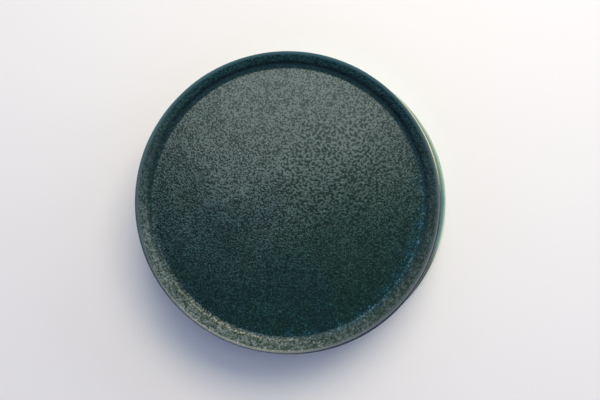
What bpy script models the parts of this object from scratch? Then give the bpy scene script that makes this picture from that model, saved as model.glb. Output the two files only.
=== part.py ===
"""A stoneware inkwell: an ink bowl with a tray lid, standing on a saucer.

Metres, +Z up. The origin is the middle of the saucer's flat base, on the table.
Each piece is one thrown and fired body, so each is a profile turned about its own upright axis.
"""
import math

import bpy
from mathutils import Vector

OBJECT_NAME = "stoneware_inkwell"

# Saucer, from its own axis and from the table.
SAUCER_RADIUS = 0.0655
SAUCER_HEIGHT = 0.0105
SAUCER_FLOOR_THICKNESS = 0.0045
SAUCER_UNDERCUT = 0.0045       # how far the base stands in from the rim
SAUCER_UNDERCUT_HEIGHT = 0.0035

# Ink bowl, from its own axis and from its foot.
BOWL_RADIUS = 0.0667
BOWL_HEIGHT = 0.0240
BOWL_RIM_WIDTH = 0.0067        # the flat land that the lid sits on
BOWL_SIDE_HEIGHT = 0.0160      # above this the side is upright, below it slopes in to the foot
BOWL_FLOOR_THICKNESS = 0.0055
FOOT_HEIGHT = 0.0018
FOOT_STEP = 0.0010             # the side starts this far outside the foot
WELL_INSET = 0.0015            # the well's floor stands in from the foot by this
BOWL_ROOM = 0.0115             # free floor of the saucer round the bowl's foot

# Lid, from its own axis and from the flat face that sits on the bowl.
LID_HEIGHT = 0.0112
LID_SETBACK = 0.0017           # the lid is this much smaller in radius than the bowl
LID_TAPER = 0.0004             # the lid's side leans out to its rim by this
RECESS_DEPTH = 0.0038
LID_FLOOR_THICKNESS = 0.0047
RING_DROP = 0.0040             # how far the locating ring reaches into the well
RING_WIDTH = 0.0050
LID_PLAY = 0.0016              # radial clearance of the locating ring in the well's mouth

# The rim that saucer and lid share: a thin lip on a wall that leans out.
LIP_WIDTH = 0.0011
WALL_LEAN = 0.0033
WALL_FILLET = 0.0038

# How the pieces stand: each is pushed off-centre by a share of its free play, in one direction.
BOWL_PUSH = 0.54
BOWL_PUSH_ANGLE = math.radians(183)
LID_PUSH = 0.72
LID_PUSH_ANGLE = math.radians(157)
REST_GAP = 0.0003

# Roundings.
LIP_ROUNDING = 0.0006
RIM_ROUNDING = 0.0016
MOUTH_ROUNDING = 0.0009
SIDE_ROUNDING = 0.0140
WELL_ROUNDING = 0.0090
BASE_ROUNDING = 0.0020
EDGE_ROUNDING = 0.0008

# Faceting.
TURN_STEPS = 60
ARC_STEPS = 3

# Glazes: colour (linear), roughness.
DARK_TEAL_GLAZE = ((0.020, 0.045, 0.046, 1.0), 0.42)
CELADON_GLAZE = ((0.300, 0.420, 0.330, 1.0), 0.25)

# Sizes that follow from the ones above.
saucer_wall_foot = SAUCER_RADIUS - LIP_WIDTH - WALL_LEAN
saucer_flat_floor = saucer_wall_foot - WALL_FILLET
bowl_foot_radius = saucer_flat_floor - BOWL_ROOM
mouth_radius = BOWL_RADIUS - BOWL_RIM_WIDTH
lid_radius = BOWL_RADIUS - LID_SETBACK
ring_radius = mouth_radius - LID_PLAY


def clear_scene():
    """Remove every object that Blender starts with."""
    for obj in list(bpy.data.objects):
        bpy.data.objects.remove(obj, do_unlink=True)


def rounded_corner(before, corner, after, rounding):
    """Return the points of the arc that rounds one corner of a profile."""
    to_before = before - corner
    to_after = after - corner
    half_angle = to_before.angle(to_after) / 2
    reach = min(rounding / math.tan(half_angle), 0.48 * to_before.length, 0.48 * to_after.length)
    start = corner + to_before.normalized() * reach
    end = corner + to_after.normalized() * reach
    bisector = (to_before.normalized() + to_after.normalized()).normalized()
    centre = corner + bisector * (reach / math.cos(half_angle))
    sweep = (start - centre).angle_signed(end - centre)
    arc = []
    for step in range(ARC_STEPS + 1):
        angle = -sweep * step / ARC_STEPS
        spoke = start - centre
        turned = Vector((spoke.x * math.cos(angle) - spoke.y * math.sin(angle),
                         spoke.x * math.sin(angle) + spoke.y * math.cos(angle)))
        arc.append(centre + turned)
    return arc


def rounded_profile(corners):
    """Turn corners of (radius, height, rounding) into the points of a smooth profile."""
    places = [Vector(corner[:2]) for corner in corners]
    points = [places[0]]
    for index in range(1, len(corners) - 1):
        rounding = corners[index][2]
        if rounding > 0:
            points += rounded_corner(places[index - 1], places[index], places[index + 1], rounding)
        else:
            points.append(places[index])
    points.append(places[-1])
    return points


def glaze(name, colour, roughness):
    """Return a plain glaze material."""
    material = bpy.data.materials.new(name)
    material.use_nodes = True
    shader = material.node_tree.nodes["Principled BSDF"]
    shader.inputs["Base Color"].default_value = colour
    shader.inputs["Roughness"].default_value = roughness
    shader.inputs["Metallic"].default_value = 0.0
    return material


def turned_piece(name, corners, location, finish, collection):
    """Make one thrown piece: its profile, from the axis over the rim to the axis, turned a full circle."""
    points = rounded_profile(corners)
    mesh = bpy.data.meshes.new(name)
    edges = [(index, index + 1) for index in range(len(points) - 1)]
    mesh.from_pydata([(point.x, 0.0, point.y) for point in points], edges, [])
    piece = bpy.data.objects.new(name, mesh)
    collection.objects.link(piece)
    piece.location = location
    mesh.materials.append(glaze(name + "_glaze", *finish))
    turn = piece.modifiers.new("Turn", "SCREW")
    turn.axis = "Z"
    turn.steps = TURN_STEPS
    turn.render_steps = TURN_STEPS
    turn.use_merge_vertices = True
    turn.merge_threshold = 0.00001
    turn.use_smooth_shade = True
    return piece


def saucer_corners():
    """Flat floor, leaning wall and thin lip, then a side that turns in to a flat base."""
    lip_inside = SAUCER_RADIUS - LIP_WIDTH
    return [
        (0.0, SAUCER_FLOOR_THICKNESS, 0.0),
        (saucer_wall_foot, SAUCER_FLOOR_THICKNESS, WALL_FILLET),
        (lip_inside, SAUCER_HEIGHT, LIP_ROUNDING),
        (SAUCER_RADIUS, SAUCER_HEIGHT, LIP_ROUNDING),
        (SAUCER_RADIUS, SAUCER_UNDERCUT_HEIGHT, BASE_ROUNDING),
        (SAUCER_RADIUS - SAUCER_UNDERCUT, 0.0, EDGE_ROUNDING),
        (0.0, 0.0, 0.0),
    ]


def bowl_corners():
    """Round well, flat rim for the lid, and a side that slopes in to a low foot."""
    return [
        (0.0, BOWL_FLOOR_THICKNESS, 0.0),
        (bowl_foot_radius - WELL_INSET, BOWL_FLOOR_THICKNESS, WELL_ROUNDING),
        (mouth_radius, BOWL_HEIGHT - RING_DROP - EDGE_ROUNDING, RIM_ROUNDING),
        (mouth_radius, BOWL_HEIGHT, MOUTH_ROUNDING),
        (BOWL_RADIUS, BOWL_HEIGHT, RIM_ROUNDING),
        (BOWL_RADIUS, BOWL_SIDE_HEIGHT, SIDE_ROUNDING),
        (bowl_foot_radius + FOOT_STEP, FOOT_HEIGHT, EDGE_ROUNDING),
        (bowl_foot_radius, FOOT_HEIGHT, 0.0),
        (bowl_foot_radius, 0.0, 0.0),
        (0.0, 0.0, 0.0),
    ]


def lid_corners():
    """Recessed floor inside a lip, flat seat underneath, and a locating ring round a shallow hollow."""
    floor = LID_HEIGHT - RECESS_DEPTH
    hollow_radius = ring_radius - RING_WIDTH
    return [
        (0.0, floor, 0.0),
        (lid_radius - LIP_WIDTH - WALL_LEAN, floor, WALL_FILLET),
        (lid_radius - LIP_WIDTH, LID_HEIGHT, LIP_ROUNDING),
        (lid_radius, LID_HEIGHT, LIP_ROUNDING),
        (lid_radius - LID_TAPER, 0.0, EDGE_ROUNDING),
        (ring_radius, 0.0, 0.0),
        (ring_radius, -RING_DROP, EDGE_ROUNDING),
        (hollow_radius, -RING_DROP, EDGE_ROUNDING),
        (hollow_radius, floor - LID_FLOOR_THICKNESS, EDGE_ROUNDING),
        (0.0, floor - LID_FLOOR_THICKNESS, 0.0),
    ]


def build():
    """Stand the bowl in the saucer and set the lid on the bowl."""
    clear_scene()
    collection = bpy.data.collections.new(OBJECT_NAME)
    bpy.context.scene.collection.children.link(collection)

    bowl_shift = BOWL_PUSH * BOWL_ROOM
    bowl_place = Vector((bowl_shift * math.cos(BOWL_PUSH_ANGLE), bowl_shift * math.sin(BOWL_PUSH_ANGLE),
                         SAUCER_FLOOR_THICKNESS + REST_GAP))
    lid_shift = LID_PUSH * LID_PLAY
    lid_place = bowl_place + Vector((lid_shift * math.cos(LID_PUSH_ANGLE), lid_shift * math.sin(LID_PUSH_ANGLE),
                                     BOWL_HEIGHT + REST_GAP))

    turned_piece("saucer", saucer_corners(), (0.0, 0.0, 0.0), CELADON_GLAZE, collection)
    turned_piece("ink_bowl", bowl_corners(), bowl_place, DARK_TEAL_GLAZE, collection)
    turned_piece("lid", lid_corners(), lid_place, DARK_TEAL_GLAZE, collection)


build()
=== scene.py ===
import math

import bmesh
import bpy
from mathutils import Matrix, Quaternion, Vector


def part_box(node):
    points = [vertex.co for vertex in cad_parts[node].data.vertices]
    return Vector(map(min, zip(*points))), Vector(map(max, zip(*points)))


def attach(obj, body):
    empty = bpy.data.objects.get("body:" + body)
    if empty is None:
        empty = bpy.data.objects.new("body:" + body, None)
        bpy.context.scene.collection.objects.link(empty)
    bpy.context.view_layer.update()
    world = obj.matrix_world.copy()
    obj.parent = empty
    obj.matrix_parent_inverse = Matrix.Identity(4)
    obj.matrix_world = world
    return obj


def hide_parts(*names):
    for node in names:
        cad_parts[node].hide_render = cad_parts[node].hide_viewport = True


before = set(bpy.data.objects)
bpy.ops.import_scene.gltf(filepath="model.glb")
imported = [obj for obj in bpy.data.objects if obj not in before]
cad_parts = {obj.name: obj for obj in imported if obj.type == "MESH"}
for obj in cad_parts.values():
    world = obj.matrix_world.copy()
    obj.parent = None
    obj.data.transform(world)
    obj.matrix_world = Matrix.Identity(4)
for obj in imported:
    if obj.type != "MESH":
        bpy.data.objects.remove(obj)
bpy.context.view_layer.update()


# --- Saucer -------------------------------------------------------------------------------------------
# The shallow dish under the bowl: thrown stoneware, fired in a pale celadon glaze that runs thick and
# teal in the hollows and breaks to cream over the edges. Its base is left bare, so that it doesn't stick
# to the kiln shelf.

def middle_of(node):
    """Return the point on a turned piece's axis at the height of its lowest face."""
    low, high = (Vector(corner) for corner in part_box(node))
    return Vector(((low.x + high.x) / 2, (low.y + high.y) / 2, low.z))


def select_points(chosen):
    """Select, in edit mode, only the points for which chosen(place) is true."""
    bpy.ops.mesh.select_mode(type="VERT")
    bpy.ops.mesh.select_all(action="DESELECT")
    mesh = bmesh.from_edit_mesh(bpy.context.object.data)
    for point in mesh.verts:
        if chosen(point.co):
            point.select_set(True)
    mesh.select_flush(True)
    bmesh.update_edit_mesh(bpy.context.object.data)


def select_faces(chosen):
    """Select, in edit mode, only the faces for which chosen(centre) is true."""
    bpy.ops.mesh.select_mode(type="FACE")
    bpy.ops.mesh.select_all(action="DESELECT")
    mesh = bmesh.from_edit_mesh(bpy.context.object.data)
    for face in mesh.faces:
        if chosen(face.calc_center_median()):
            face.select_set(True)
    bmesh.update_edit_mesh(bpy.context.object.data)


LONGEST_STEP = 0.0028          # between the points of a half section


def split_long_edges():
    """Halve every long edge of the half section until none is longer than LONGEST_STEP."""
    bpy.ops.mesh.select_mode(type="EDGE")
    while True:
        bpy.ops.mesh.select_all(action="DESELECT")
        mesh = bmesh.from_edit_mesh(bpy.context.object.data)
        too_long = [edge for edge in mesh.edges if edge.calc_length() > LONGEST_STEP]
        if not too_long:
            return
        for edge in too_long:
            edge.select_set(True)
        bmesh.update_edit_mesh(bpy.context.object.data)
        bpy.ops.mesh.subdivide(number_cuts=1)


CORNER_STEPS = 7               # steps round each rounded corner
TURN_STEPS = 240               # steps round each pot
SAME_PLACE = 0.00001           # points nearer than this are one point
CREASE_ANGLE = math.radians(38)


def throw(name, foot, corners):
    """Turn a half section of (radius, height, rounding) corners once round the upright axis over foot."""
    bpy.ops.object.select_all(action="DESELECT")
    bpy.ops.mesh.primitive_circle_add(vertices=3, radius=0.001, location=(0, 0, 0))
    pot = bpy.context.object
    pot.name = pot.data.name = name
    bpy.ops.object.mode_set(mode="EDIT")
    bpy.ops.mesh.select_mode(type="VERT")
    bpy.ops.mesh.select_all(action="SELECT")
    bpy.ops.mesh.merge(type="CENTER")
    place = Vector((corners[0][0], 0, corners[0][1]))
    bpy.ops.transform.translate(value=foot + place)
    for radius, height, rounding in corners[1:]:
        step = Vector((radius, 0, height)) - place
        bpy.ops.mesh.extrude_vertices_move(TRANSFORM_OT_translate={"value": step})
        place += step
    for radius, height, rounding in corners:
        if rounding:
            corner = foot + Vector((radius, 0, height))
            select_points(lambda point: (point - corner).length < SAME_PLACE)
            bpy.ops.mesh.bevel(offset=rounding, segments=CORNER_STEPS, affect="VERTICES")
    split_long_edges()
    bpy.ops.mesh.select_all(action="SELECT")
    bpy.ops.mesh.spin(steps=TURN_STEPS, angle=math.tau, center=(foot.x, foot.y, 0), axis=(0, 0, 1))
    bpy.ops.mesh.select_all(action="SELECT")
    bpy.ops.mesh.remove_doubles(threshold=SAME_PLACE)
    bpy.ops.mesh.normals_make_consistent(inside=False)
    bpy.ops.object.mode_set(mode="OBJECT")
    bpy.ops.object.shade_smooth_by_angle(angle=CREASE_ANGLE)
    return pot


WHEEL_WAVE_LENGTH = 0.022      # the slight waves that hands leave on the wheel
WHEEL_WAVE_HEIGHT = 0.00016


def finish_pot(pot, glaze, bare_clay, is_bare):
    """Glaze a pot but for the faces that is_bare(centre) names, and give it a thrown pot's waves."""
    pot.data.materials.append(glaze)
    pot.data.materials.append(bare_clay)
    bpy.ops.object.mode_set(mode="EDIT")
    select_faces(is_bare)
    pot.active_material_index = 1
    bpy.ops.object.material_slot_assign()
    bpy.ops.object.mode_set(mode="OBJECT")
    pot.active_material_index = 0
    waves = bpy.data.textures.new("throwing_waves", "CLOUDS")
    waves.noise_scale = WHEEL_WAVE_LENGTH
    waves.noise_depth = 0
    uneven = pot.modifiers.new("uneven", "DISPLACE")
    uneven.texture = waves
    uneven.texture_coords = "LOCAL"
    uneven.strength = WHEEL_WAVE_HEIGHT
    bpy.ops.object.modifier_apply(modifier="uneven")


def linear(hex_colour):
    """Turn an sRGB hex colour into the linear colour that a shader takes."""
    parts = [int(hex_colour[i:i + 2], 16) / 255 for i in (1, 3, 5)]
    return [part / 12.92 if part <= 0.04045 else ((part + 0.055) / 1.055) ** 2.4 for part in parts] + [1.0]


def spots(millimetres):
    """Return the noise scale, to the nearest 5, whose spots are this many millimetres apart."""
    return 5.0 * round(200 / millimetres)


def add(material, kind, settings=None, links=None, stops=(), output=None):
    """Add a node, set its properties and sockets, link its inputs and return one of its outputs."""
    node = material.node_tree.nodes.new("ShaderNode" + kind)
    for key, value in (settings or {}).items():
        if isinstance(key, int) or key in node.inputs:
            node.inputs[key].default_value = value
        else:
            setattr(node, key, value)
    for key, source in (links or {}).items():
        material.node_tree.links.new(source, node.inputs[key])
    for index, (position, colour) in enumerate(stops):
        elements = node.color_ramp.elements
        element = elements[index] if index < 2 else elements.new(position)
        element.position, element.color = position, linear(colour)
    return node.outputs[output] if output else next(way for way in node.outputs if way.enabled)


def new_material(name):
    """Return a new material and its shader."""
    material = bpy.data.materials.new(name)
    material.use_nodes = True
    return material, material.node_tree.nodes["Principled BSDF"]


def bare_stoneware():
    """Unglazed stoneware, fired, wiped with a sponge: warm grey-buff and dull, with gritty iron specks."""
    clay, shader = new_material("stoneware_bare_fired")
    shader.inputs["Roughness"].default_value = 0.85
    where = add(clay, "TexCoord", output="Object")
    grit = add(clay, "TexNoise", {"Scale": spots(0.714), "Detail": 3.0, "Roughness": 0.6},
               {"Vector": where})
    colour = add(clay, "ValToRGB", None, {"Fac": grit},
                 [(0.32, "#5a4a3c"), (0.70, "#b9a58c"), (0.42, "#a08a72")])
    bump = add(clay, "Bump", {"Strength": 0.5, "Distance": 0.0001}, {"Height": grit})
    clay.node_tree.links.new(colour, shader.inputs["Base Color"])
    clay.node_tree.links.new(bump, shader.inputs["Normal"])
    return clay


def distance_out(material, where, middle):
    """Return the distance from a piece's upright axis."""
    centred = add(material, "Mapping", {"Location": (-middle.x, -middle.y, 0), "Scale": (1, 1, 0)},
                  {"Vector": where})
    return add(material, "VectorMath", {"operation": "LENGTH"}, {"Vector": centred})


def facing(material, where, middle, azimuth, low, high):
    """Return 0 to 1 across a piece, from low to high metres out towards this azimuth in degrees."""
    azimuth = math.radians(azimuth)
    towards = (math.cos(azimuth), math.sin(azimuth), 0)
    offset = add(material, "VectorMath", {"operation": "SUBTRACT", 1: (middle.x, middle.y, 0)}, {0: where})
    along = add(material, "VectorMath", {"operation": "DOT_PRODUCT", 1: towards}, {0: offset})
    return add(material, "MapRange", {"From Min": low, "From Max": high}, {"Value": along})


def celadon_glaze(foot):
    """Celadon dipped over stoneware, glossy: teal and thick by the wall's foot, cream where it breaks over
    the lip, lighter cream on the far side of the rim, partly painted highlight, and iron-green on the near
    side, partly painted shade of the lid, with clouded edges and fine pinholes."""
    celadon, shader = new_material("celadon_glaze_dipped")
    shader.inputs["Roughness"].default_value = 0.28
    shader.inputs["Specular IOR Level"].default_value = 0.4
    where = add(celadon, "TexCoord", output="Object")
    out = distance_out(celadon, where, foot)
    cloud = add(celadon, "TexNoise", {"Scale": spots(4.17), "Detail": 4.0}, {"Vector": where})

    # Up the wall and over the lip, in three colourings that follow each other round the rim: cream on the
    # far side, partly painted highlight where the window lights the rim, and iron-green on the near side,
    # partly painted shade of the lid.
    ragged = add(celadon, "Math", {"operation": "MULTIPLY_ADD", 1: 0.0010}, {0: cloud, 2: out})
    share = add(celadon, "MapRange", {"From Min": 0.0565, "From Max": 0.0665}, {"Value": ragged})
    teal_side = add(celadon, "ValToRGB", None, {"Fac": share},
                    [(0.0, "#7fa394"), (0.45, "#3f8078"), (0.80, "#5b9a97"), (0.84, "#66a199"),
                     (0.89, "#a3b598")])
    # Far side: cream break, with painted highlight.
    cream_side_highlight = add(celadon, "ValToRGB", None, {"Fac": share},
                     [(0.0, "#7fa394"), (0.45, "#4f8a80"), (0.78, "#73ada3"), (0.84, "#7cb0a4"),
                      (0.88, "#b3c0a0"), (0.95, "#7c9b9b")])
    # Near side: darker iron-green, with painted shade of the lid.
    iron_side_shade = add(celadon, "ValToRGB", None, {"Fac": share},
                    [(0.0, "#7fa394"), (0.45, "#3c6e63"), (0.80, "#4d6a58"), (0.90, "#5c6a50"),
                     (0.98, "#34423c")])
    colour = add(celadon, "Mix", {"data_type": "RGBA"},
                 {0: facing(celadon, where, foot, 90, 0.002, 0.014), 6: teal_side, 7: cream_side_highlight})
    colour = add(celadon, "Mix", {"data_type": "RGBA"},
                 {0: facing(celadon, where, foot, 270, 0.018, 0.030), 6: colour, 7: iron_side_shade})

    # Down the outer side: paler where it thins towards the rim.
    height = add(celadon, "SeparateXYZ", None, {0: where}, output="Z")
    height = add(celadon, "Math", {"operation": "MULTIPLY_ADD", 1: 0.0030}, {0: cloud, 2: height})
    up_side = add(celadon, "MapRange", {"From Min": 0.0020, "From Max": 0.0120}, {"Value": height})
    side = add(celadon, "ValToRGB", None, {"Fac": up_side},
               [(0.1, "#3f857b"), (0.8, "#86aa98"), (0.4, "#659a8b")])
    upper = add(celadon, "MapRange", {"From Min": 0.0098, "From Max": 0.0108}, {"Value": height})
    below = add(celadon, "Math", {"operation": "SUBTRACT", 0: 1.0}, {1: upper})
    on_side = add(celadon, "MapRange", {"From Min": 0.0640, "From Max": 0.0646}, {"Value": out})
    on_side = add(celadon, "Math", {"operation": "MULTIPLY"}, {0: on_side, 1: below})
    colour = add(celadon, "Mix", {"data_type": "RGBA"}, {0: on_side, 6: colour, 7: side})

    # Real pinholes are finer than this. They are drawn 1.1 mm apart, so that they show.
    pinholes = add(celadon, "TexNoise", {"Scale": spots(1.11), "Detail": 1.0}, {"Vector": where})
    bump = add(celadon, "Bump", {"Strength": 0.25, "Distance": 0.00006}, {"Height": pinholes})
    celadon.node_tree.links.new(colour, shader.inputs["Base Color"])
    celadon.node_tree.links.new(bump, shader.inputs["Normal"])
    return celadon


saucer_foot = middle_of("saucer")
clay = bare_stoneware()
saucer = throw("saucer_thrown", saucer_foot, [
    (0.0, 0.0045, 0),              # middle of the floor
    (0.0586, 0.0045, 0.0010),      # foot of the wall
    (0.0608, 0.0058, 0.0004),      # where the wall steepens
    (0.0640, 0.0101, 0.0010),      # inside of the lip
    (0.0655, 0.0104, 0.0006),      # outside of the lip
    (0.0654, 0.0036, 0.0018),      # where the side turns in
    (0.0610, 0.0000, 0.0006),      # edge of the base
    (0.0, 0.0000, 0),              # middle of the base
])
finish_pot(saucer, celadon_glaze(saucer_foot), clay, lambda spot: spot.z < 0.0008)
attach(saucer, "saucer")
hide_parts("saucer")


# --- Ink bowl -----------------------------------------------------------------------------------------
# The well: a low stoneware bowl with a thick flat-topped rim, in the same dark teal glaze as its lid. The
# ring that the lid sits on and the foot are wiped bare before the firing, so that nothing sticks.

def crystal_grain(glaze, where, middle):
    """Return the reactive glaze's grain and its crystals: 0.4 in the gaps to 0.85 on the largest. They are
    0.7 mm apart, and 1.1 mm in the patch where the glaze lies thickest."""
    fine = add(glaze, "TexNoise", {"Scale": spots(0.74), "Detail": 2.0}, {"Vector": where})
    coarse = add(glaze, "TexNoise", {"Scale": spots(1.136), "Detail": 2.0}, {"Vector": where})
    thickest = middle + Vector((0.020, 0.013, 0))
    thick = add(glaze, "MapRange", {"From Min": 0.010, "From Max": 0.038, "To Min": 1.0, "To Max": 0.0},
                {"Value": distance_out(glaze, where, thickest)})
    cloud = add(glaze, "TexNoise", {"Scale": spots(9.1), "Detail": 2.0}, {"Vector": where})
    thick = add(glaze, "Math", {"operation": "ADD"}, {0: thick, 1: cloud})
    thick = add(glaze, "MapRange", {"From Min": 0.97, "From Max": 1.05}, {"Value": thick})
    grain = add(glaze, "Mix", {"data_type": "FLOAT"}, {0: thick, 2: fine, 3: coarse})
    patch = add(glaze, "TexNoise", {"Scale": spots(3.85), "Detail": 3.0}, {"Vector": where})
    crystal = add(glaze, "Math", {"operation": "MULTIPLY_ADD", 1: 0.2}, {0: patch, 2: grain})
    return grain, crystal


def crystal_colour(glaze, where, middle, crystal):
    """Colour the crystals: near black in the gaps, teal on them, greener or bluer in slow drifts, and
    greyer on the far side as painted sheen from the window."""
    green = add(glaze, "ValToRGB", None, {"Fac": crystal},
                [(0.42, "#050f0d"), (0.90, "#1d5a4c"), (0.62, "#08201c"), (0.74, "#0d302b")])
    blue = add(glaze, "ValToRGB", None, {"Fac": crystal},
               [(0.42, "#050e10"), (0.90, "#1f616a"), (0.62, "#081f23"), (0.74, "#0d2e36")])
    grey = add(glaze, "ValToRGB", None, {"Fac": crystal},
               [(0.42, "#050d0c"), (0.90, "#3d554d"), (0.62, "#0a1c1a"), (0.74, "#1b2e2b")])
    drift = add(glaze, "TexNoise", {"Scale": spots(22), "Detail": 2.0}, {"Vector": where})
    left = facing(glaze, where, middle, 180, -0.050, 0.060)
    drift = add(glaze, "Math", {"operation": "MULTIPLY_ADD", 1: 0.35}, {0: left, 2: drift})
    drift = add(glaze, "MapRange", {"From Min": 0.55, "From Max": 0.80}, {"Value": drift})
    teal = add(glaze, "Mix", {"data_type": "RGBA"}, {0: drift, 6: green, 7: blue})
    # Greyer towards the far side, where the window's sheen falls: painted sheen.
    far = facing(glaze, where, middle, 90, 0.000, 0.030)
    return add(glaze, "Mix", {"data_type": "RGBA"}, {0: far, 6: teal, 7: grey})


def glass_over(glaze, shader, coat, grain):
    """Give the glaze its shine: a broad teal glow from inside it, under a clear glass of varying cover."""
    shader.inputs["Roughness"].default_value = 0.55
    shader.inputs["Specular IOR Level"].default_value = 0.30
    shader.inputs["Specular Tint"].default_value = linear("#7fc4bc")
    shader.inputs["Coat Roughness"].default_value = 0.2
    shader.inputs["Coat IOR"].default_value = 1.5
    bump = add(glaze, "Bump", {"Strength": 1.0, "Distance": 0.00005}, {"Height": grain})
    glaze.node_tree.links.new(coat, shader.inputs["Coat Weight"])
    glaze.node_tree.links.new(bump, shader.inputs["Normal"])
    glaze.node_tree.links.new(bump, shader.inputs["Coat Normal"])


def bowl_glaze(foot):
    """Reactive stoneware glaze, dipped, satin: fine teal crystals over near black, running navy over the
    edge of the rim and breaking to cream on the side towards the window, partly a painted highlight."""
    glaze, shader = new_material("reactive_glaze_bowl")
    where = add(glaze, "TexCoord", output="Object")
    grain, crystal = crystal_grain(glaze, where, foot)
    colour = crystal_colour(glaze, where, foot, crystal)
    height = add(glaze, "SeparateXYZ", None, {0: where}, output="Z")
    fray = add(glaze, "TexNoise", {"Scale": spots(3.85), "Detail": 3.0}, {"Vector": where})
    height = add(glaze, "Math", {"operation": "MULTIPLY_ADD", 1: 0.0040}, {0: fray, 2: height})
    edge = add(glaze, "MapRange", {"From Min": foot.z + 0.0228, "From Max": foot.z + 0.0242},
               {"Value": height})
    # Cream on the rim's edge towards the window: partly a glaze break, partly painted highlight.
    cream_break_and_highlight = facing(glaze, where, foot, 40, 0.0540, 0.0630)
    rim = add(glaze, "Mix", {"data_type": "RGBA", 6: linear("#12324a"), 7: linear("#cfc89c")}, {0: cream_break_and_highlight})
    outside = add(glaze, "MapRange", {"From Min": 0.0640, "From Max": 0.0650},
                  {"Value": distance_out(glaze, where, foot)})
    edge = add(glaze, "Math", {"operation": "MULTIPLY"}, {0: edge, 1: outside})
    colour = add(glaze, "Mix", {"data_type": "RGBA"}, {0: edge, 6: colour, 7: rim})
    glaze.node_tree.links.new(colour, shader.inputs["Base Color"])
    coat = add(glaze, "MapRange", {"From Min": 0.48, "From Max": 0.70, "To Min": 0.3}, {"Value": crystal})
    glass_over(glaze, shader, coat, grain)
    return glaze


BOWL_HEIGHT = 0.0240
bowl_foot = middle_of("ink_bowl")
bowl_top = bowl_foot.z + BOWL_HEIGHT
bowl = throw("ink_bowl_thrown", bowl_foot, [
    (0.0, 0.0055, 0),              # middle of the well
    (0.0443, 0.0055, 0.0034),      # foot of the well's wall
    (0.0600, 0.0192, 0.0010),      # where the wall turns upright
    (0.0600, BOWL_HEIGHT, 0.0009), # mouth
    (0.0667, BOWL_HEIGHT, 0.0014), # outside of the rim
    (0.0667, 0.0160, 0.0050),      # where the side turns in
    (0.0468, 0.0018, 0.0006),      # top of the foot
    (0.0458, 0.0018, 0),
    (0.0458, 0.0000, 0),           # edge of the foot
    (0.0, 0.0000, 0),              # middle of the foot
])
finish_pot(bowl, bowl_glaze(bowl_foot), clay,
           lambda spot: spot.z < bowl_foot.z + 0.0020
           or (spot.z > bowl_top - 0.0001 and (spot - bowl_foot).xy.length < 0.0645))
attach(bowl, "ink_bowl")
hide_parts("ink_bowl")


# --- Lid ----------------------------------------------------------------------------------------------
# A heavy tray-shaped lid: a recessed flat top inside a thin upstanding rim, and a ring underneath that
# keeps it in the bowl's mouth. Glazed like the bowl; the seat and the ring are wiped bare.

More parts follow.
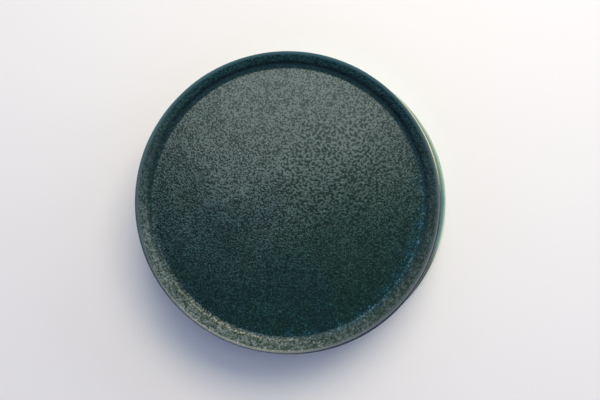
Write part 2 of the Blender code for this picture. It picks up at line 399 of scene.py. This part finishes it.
def lid_glaze(seat):
    """The same glaze, thick: mottled on the wall, cobalt where it pooled at the wall's foot, thin on the
    lip, and glassiest on its crystals. Painted light: sheen on the wall's near side, shade in the crease
    and on the pooled ring's half towards the window, and shade and highlight on the lip's outer edge."""
    glaze, shader = new_material("reactive_glaze_lid")
    where = add(glaze, "TexCoord", output="Object")
    grain, crystal = crystal_grain(glaze, where, seat)
    colour = crystal_colour(glaze, where, seat, crystal)
    out = distance_out(glaze, where, seat)
    height = add(glaze, "SeparateXYZ", None, {0: where}, output="Z")
    near_side = facing(glaze, where, seat, 262, -0.045, 0.045)
    fray = add(glaze, "TexNoise", {"Scale": spots(1.54), "Detail": 4.0, "Roughness": 0.7},
               {"Vector": where})
    ragged = add(glaze, "Math", {"operation": "MULTIPLY_ADD", 1: 0.0050}, {0: fray, 2: out})

    # From the flat floor out to the lip: where the glaze pooled, where the wall stands, and painted shade
    # in the crease at the wall's foot.
    pooled = add(glaze, "MapRange", {"From Min": 0.0604, "From Max": 0.0620}, {"Value": ragged})
    on_wall = add(glaze, "Math", {"operation": "MULTIPLY_ADD", 1: 0.0010}, {0: near_side, 2: ragged})
    on_wall = add(glaze, "MapRange", {"From Min": 0.0625, "From Max": 0.0633}, {"Value": on_wall})
    inside = add(glaze, "MapRange", {"From Min": 0.0640, "From Max": 0.0645, "To Min": 1.0, "To Max": 0.0},
                 {"Value": out})
    # Painted shade: a dark line in the crease at the wall's foot on the far side; towards the near side the
    # line gives way to an even darkening to 0.8.
    crease_shade = add(glaze, "MapRange", {"From Min": 0.0590, "From Max": 0.0620}, {"Value": out})
    crease_shade = add(glaze, "ValToRGB", None, {"Fac": crease_shade},
                 [(0.05, "#ffffff"), (0.95, "#ffffff"), (0.40, "#787878"), (0.50, "#787878")])
    crease_shade = add(glaze, "Mix", {"data_type": "RGBA", 7: (0.8, 0.8, 0.8, 1.0)}, {0: near_side, 6: crease_shade})

    # The wall: dark teal on the far side; on the near side, where it faces the window, grey as painted
    # sheen, mottled with olive; speckled all over.
    mottle = add(glaze, "TexNoise", {"Scale": spots(1.85), "Detail": 5.0, "Roughness": 0.75},
                 {"Vector": where})
    mottle = add(glaze, "MapRange", {"From Min": 0.44, "From Max": 0.54}, {"Value": mottle})
    lower_wall = add(glaze, "MapRange",
                     {"From Min": 0.0626, "From Max": 0.0638, "To Min": 1.0, "To Max": 0.2}, {"Value": out})
    mottle = add(glaze, "Math", {"operation": "MULTIPLY"}, {0: mottle, 1: lower_wall})
    olive = add(glaze, "Math", {"operation": "MULTIPLY"}, {0: mottle, 1: near_side})
    # Grey on the near side is painted sheen from the window.
    wall = add(glaze, "Mix", {"data_type": "RGBA", 6: linear("#15393a"), 7: linear("#55625f")},
               {0: near_side})
    wall = add(glaze, "Mix", {"data_type": "RGBA", 7: linear("#2f3d29")}, {0: olive, 6: wall})
    wall = add(glaze, "Mix", {"data_type": "RGBA", 0: 0.7}, {6: colour, 7: wall})
    speckle = add(glaze, "MapRange", {"From Min": 0.52, "From Max": 0.72, "To Min": 0.62, "To Max": 1.60},
                  {"Value": crystal})
    wall = add(glaze, "Mix", {"data_type": "RGBA", "blend_type": "MULTIPLY", 0: 1.0}, {6: wall, 7: speckle})
    wall_share = add(glaze, "Math", {"operation": "MULTIPLY"}, {0: on_wall, 1: inside})
    colour = add(glaze, "Mix", {"data_type": "RGBA"}, {0: wall_share, 6: colour, 7: wall})

    # Cobalt that ran down the wall and pooled at its foot: patchy at one side; and a faint darker band at
    # the foot on the half towards the window, pooled glaze and painted shade of the wall.
    flecks = add(glaze, "MapRange", {"From Min": 0.70, "From Max": 0.84}, {"Value": crystal})
    cobalt = add(glaze, "Mix", {"data_type": "RGBA", 6: linear("#143848"), 7: linear("#48809a")},
                 {0: flecks})
    drift = add(glaze, "TexNoise", {"Scale": spots(4.17), "Detail": 3.0}, {"Vector": where})
    reach = add(glaze, "Math", {"operation": "MULTIPLY_ADD", 1: 0.0080}, {0: drift, 2: out})
    reach = add(glaze, "MapRange", {"From Min": 0.0588, "From Max": 0.0622}, {"Value": reach})
    reach = add(glaze, "Math", {"operation": "SUBTRACT", "use_clamp": True}, {0: reach, 1: on_wall})
    drift = add(glaze, "Math", {"operation": "ADD"}, {0: drift, 1: crystal})
    drift = add(glaze, "MapRange", {"From Min": 1.00, "From Max": 1.30}, {"Value": drift})
    drift = add(glaze, "Math", {"operation": "MULTIPLY"},
                {0: drift, 1: facing(glaze, where, seat, 316, 0.016, 0.058)})
    cobalt_share = add(glaze, "Math", {"operation": "MULTIPLY"}, {0: reach, 1: drift})
    # Painted shade of the wall on the pooled ring, on the half towards the window, over pooled glaze.
    pooled_band_shade = add(glaze, "Math", {"operation": "SUBTRACT", "use_clamp": True}, {0: pooled, 1: on_wall})
    pooled_band_shade = add(glaze, "Math", {"operation": "MULTIPLY"},
               {0: pooled_band_shade, 1: facing(glaze, where, seat, 35, -0.055, 0.000)})
    pooled_band_shade = add(glaze, "Math", {"operation": "MULTIPLY", 1: 0.5}, {0: pooled_band_shade})
    colour = add(glaze, "Mix", {"data_type": "RGBA", 7: linear("#143844")}, {0: pooled_band_shade, 6: colour})
    colour = add(glaze, "Mix", {"data_type": "RGBA"}, {0: cobalt_share, 6: colour, 7: cobalt})
    # Multiply in the painted crease shade.
    colour = add(glaze, "Mix", {"data_type": "RGBA", "blend_type": "MULTIPLY", 0: 1.0},
                 {6: colour, 7: crease_shade})

    # The lip, where the glaze thins, and its outer edge on the near side: navy as painted shade, turning
    # grey-brown towards the right, partly a glaze break and partly painted highlight.
    crown = add(glaze, "MapRange", {"From Min": seat.z + 0.0106, "From Max": seat.z + 0.0111},
                {"Value": height})
    thin = add(glaze, "Mix", {"data_type": "RGBA", 6: linear("#3d5d65"), 7: linear("#4b5155")},
               {0: near_side})
    colour = add(glaze, "Mix", {"data_type": "RGBA"}, {0: crown, 6: colour, 7: thin})
    outer = add(glaze, "MapRange", {"From Min": 0.0642, "From Max": 0.0646}, {"Value": out})
    outer = add(glaze, "Math", {"operation": "MULTIPLY"},
                {0: outer, 1: facing(glaze, where, seat, 290, -0.050, 0.010)})
    top = add(glaze, "MapRange", {"From Min": seat.z + 0.0094, "From Max": seat.z + 0.0102},
              {"Value": height})
    outer = add(glaze, "Math", {"operation": "MULTIPLY"}, {0: outer, 1: top})
    # Navy is painted shade on the lip's shaded outer edge; grey-brown towards the right is partly painted
    # highlight.
    edge = add(glaze, "Mix", {"data_type": "RGBA", 6: linear("#0f2132"), 7: linear("#666059")},
               {0: facing(glaze, where, seat, 10, 0.010, 0.050)})
    colour = add(glaze, "Mix", {"data_type": "RGBA"}, {0: outer, 6: colour, 7: edge})
    glaze.node_tree.links.new(colour, shader.inputs["Base Color"])

    # How much clear glass lies over it: most on the crystals, least between them and in the pooled ring.
    gaps = facing(glaze, where, seat, 90, -0.005, 0.060)
    gaps = add(glaze, "MapRange", {"To Min": 0.08, "To Max": 0.48}, {"Value": gaps})
    coat = add(glaze, "MapRange", {"From Min": 0.53, "From Max": 0.64}, {"Value": crystal, "To Min": gaps})
    wall_coat = add(glaze, "MapRange", {"From Min": 0.50, "From Max": 0.72, "To Min": 0.35, "To Max": 1.00},
                    {"Value": crystal})
    wall_coat = add(glaze, "Math", {"operation": "MULTIPLY_ADD", 1: -0.45}, {0: mottle, 2: wall_coat})
    pool_coat = add(glaze, "MapRange", {"From Min": 0.60, "From Max": 0.76, "To Min": 0.20, "To Max": 0.70},
                    {"Value": crystal})
    dull = add(glaze, "Math", {"operation": "MULTIPLY"},
               {0: reach, 1: facing(glaze, where, seat, 316, 0.010, 0.050)})
    coat = add(glaze, "Mix", {"data_type": "FLOAT", 3: 0.12}, {0: dull, 2: coat})
    coat = add(glaze, "Mix", {"data_type": "FLOAT"}, {0: pooled, 2: coat, 3: pool_coat})
    coat = add(glaze, "Mix", {"data_type": "FLOAT"}, {0: on_wall, 2: coat, 3: wall_coat})
    coat = add(glaze, "Mix", {"data_type": "FLOAT", 3: 0.25}, {0: crown, 2: coat})
    glass_over(glaze, shader, coat, grain)
    return glaze


LID_HEIGHT = 0.0112            # from the seat to the lip
OVAL = 0.0035                  # wet clay warps: this much wider one way, and narrower the other
lid_low, lid_high = (Vector(corner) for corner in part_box("lid"))
lid_seat = Vector(((lid_low.x + lid_high.x) / 2, (lid_low.y + lid_high.y) / 2, lid_high.z - LID_HEIGHT))
lid = throw("lid_thrown", lid_seat, [
    (0.0, 0.0074, 0),              # middle of the recess
    (0.0593, 0.0074, 0.0016),      # foot of the wall
    (0.0637, 0.0110, 0.0009),      # inside of the lip
    (0.0649, LID_HEIGHT, 0.0006),  # outside of the lip
    (0.0646, 0.0000, 0.0008),      # outside of the seat
    (0.0584, 0.0000, 0),           # top of the locating ring
    (0.0584, -0.0040, 0.0008),
    (0.0534, -0.0040, 0.0008),
    (0.0534, 0.0027, 0.0008),      # edge of the hollow under the lid
    (0.0, 0.0027, 0),              # middle of the hollow
])
finish_pot(lid, lid_glaze(lid_seat), clay,
           lambda spot: spot.z < lid_seat.z + 0.0001 and (spot - lid_seat).xy.length > 0.0540)
bpy.ops.object.mode_set(mode="EDIT")
bpy.ops.mesh.select_all(action="SELECT")
bpy.ops.transform.resize(value=(1 + OVAL, 1 - OVAL, 1.0), center_override=lid_seat)
bpy.ops.object.mode_set(mode="OBJECT")
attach(lid, "lid")
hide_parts("lid")


# --- Table, window light and camera -------------------------------------------------------------------
# A plain white table by a window: soft light from high on the far side, and dim bluish light from the
# rest of the room.
TABLE_SIDE = 16.0
bpy.ops.object.select_all(action="DESELECT")
bpy.ops.mesh.primitive_plane_add(size=TABLE_SIDE, location=(0, 0, 0))
table = bpy.context.object
table.name = "table_top"
# Melamine laminate, pressed matt: an even off-white with hardly any sheen.
laminate, laminate_shader = new_material("table_white_laminate")
laminate_shader.inputs["Base Color"].default_value = linear("#e1e0df")
laminate_shader.inputs["Roughness"].default_value = 0.6
table.data.materials.append(laminate)

# The room's light by height: grey-blue below the table's edge, pale blue walls, a dark ceiling.
world = bpy.data.worlds.new("room")
bpy.context.scene.world = world
world.use_nodes = True
room = world.node_tree.nodes.new("ShaderNodeTexCoord")
upwards = world.node_tree.nodes.new("ShaderNodeSeparateXYZ")
shade = world.node_tree.nodes.new("ShaderNodeValToRGB")
shade.color_ramp.elements[0].position = 0.15
shade.color_ramp.elements[0].color = linear("#666e8a")
shade.color_ramp.elements[1].position = 0.98
shade.color_ramp.elements[1].color = linear("#20242c")
shade.color_ramp.elements.new(0.35).color = linear("#8791b9")
shade.color_ramp.elements.new(0.88).color = linear("#8791b9")
world.node_tree.links.new(room.outputs["Generated"], upwards.inputs["Vector"])
world.node_tree.links.new(upwards.outputs["Z"], shade.inputs["Fac"])
world.node_tree.links.new(shade.outputs["Color"], world.node_tree.nodes["Background"].inputs["Color"])
world.node_tree.nodes["Background"].inputs["Strength"].default_value = 1.0

rim_centre = Vector((lid_seat.x, lid_seat.y, lid_high.z))


def direction(azimuth, zenith):
    """Return the unit vector at this azimuth and this angle from straight up, in degrees."""
    azimuth, zenith = math.radians(azimuth), math.radians(zenith)
    return Vector((math.sin(zenith) * math.cos(azimuth), math.sin(zenith) * math.sin(azimuth),
                   math.cos(zenith)))


def soft_light(name, towards, width, height, radiance, colour, roll=0.0):
    """Hang a rectangular soft light at this offset from the lid, facing it and rolled by these degrees."""
    turn = towards.to_track_quat("Z", "Y") @ Quaternion((0, 0, 1), math.radians(roll))
    bpy.ops.object.light_add(type="AREA", location=rim_centre + towards, rotation=turn.to_euler())
    lamp = bpy.context.object
    lamp.name = name
    lamp.data.shape = "RECTANGLE"
    lamp.data.size = width
    lamp.data.size_y = height
    lamp.data.energy = radiance * math.pi * width * height
    lamp.data.color = linear(colour)[:3]


soft_light("sky_light", direction(90, 13.1) + Vector((-0.01, 0, 0)), width=0.42, height=0.40,
           radiance=4.8, colour="#e8f6f4", roll=9.0)
soft_light("window_light", direction(70, 32.5), width=0.60, height=0.37, radiance=11.0, colour="#ffefd0")
soft_light("low_window_light", direction(53, 64), width=2.5, height=0.44, radiance=2.3, colour="#f6f6f6")

CAMERA_OFFSET = Vector((0.00535, 0.00107, 0.3552))      # from the middle of the lid's rim
bpy.ops.object.camera_add(location=rim_centre + CAMERA_OFFSET, rotation=(0, 0, 0))
camera = bpy.context.object
camera.data.lens = 50
camera.data.sensor_width = 36
bpy.context.scene.camera = camera
bpy.context.scene.view_settings.view_transform = "Standard"
